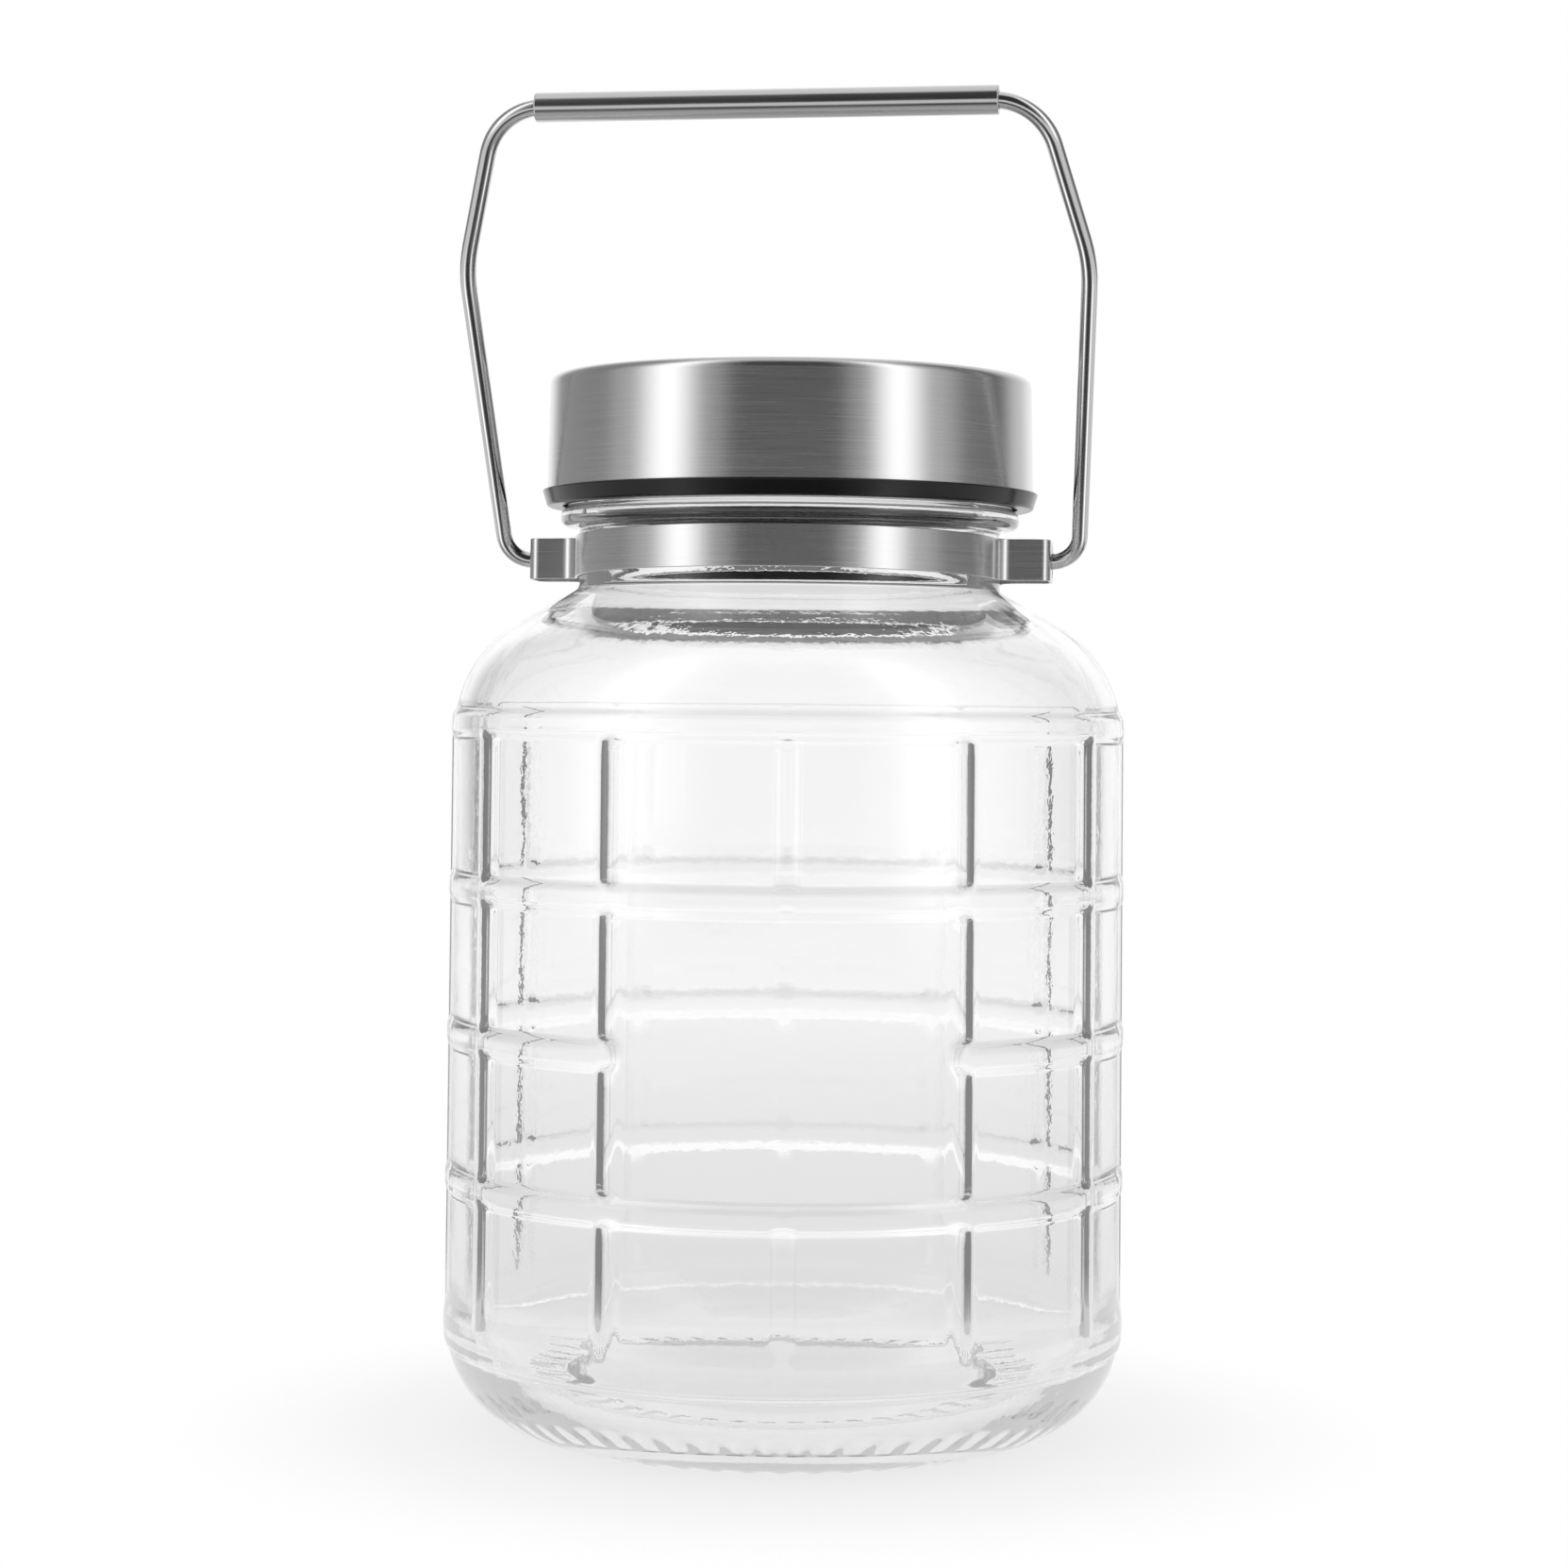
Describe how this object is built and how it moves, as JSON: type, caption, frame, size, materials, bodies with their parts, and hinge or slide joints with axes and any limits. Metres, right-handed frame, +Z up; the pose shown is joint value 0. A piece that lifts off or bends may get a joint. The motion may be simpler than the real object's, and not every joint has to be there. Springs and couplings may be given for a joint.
{
  "type": "glass storage jar",
  "caption": "Ribbed clear glass storage jar with a brushed steel screw lid, a steel strip round the neck and a swinging wire bail with a tube grip.",
  "frame": {"origin": "middle of the jar's base, on its axis, at the plane it stands on", "axes": "+Z up along the jar's axis; the plain label panel faces -Y; the bail's pivot axis lies 8.9 degrees off X, its +X end towards -Y"},
  "size_m": [0.1368, 0.1368, 0.2623],
  "materials": {
    "clear_glass": "clear pressed glass, smooth, slightly wavy",
    "lid_steel": "brushed round the rim",
    "liner_plastic": "black gloss",
    "band_steel": "brushed along the strip",
    "wire_steel": "drawn bright wire",
    "grip_steel": "brushed tube"
  },
  "bodies": {
    "jar": {"glass_jar": "clear_glass", "lid_shell": "lid_steel", "lid_liner": "liner_plastic", "neck_band": "band_steel"},
    "handle": {"handle_wire": "wire_steel", "handle_grip": "grip_steel"}
  },
  "joints": [
    {"name": "handle_swing", "type": "hinge", "parent": "jar", "child": "handle", "pos_m": [0, 0, 0.1739], "axis": [0.988, -0.1547, 0], "range_deg": [-150, 105]}
  ]
}
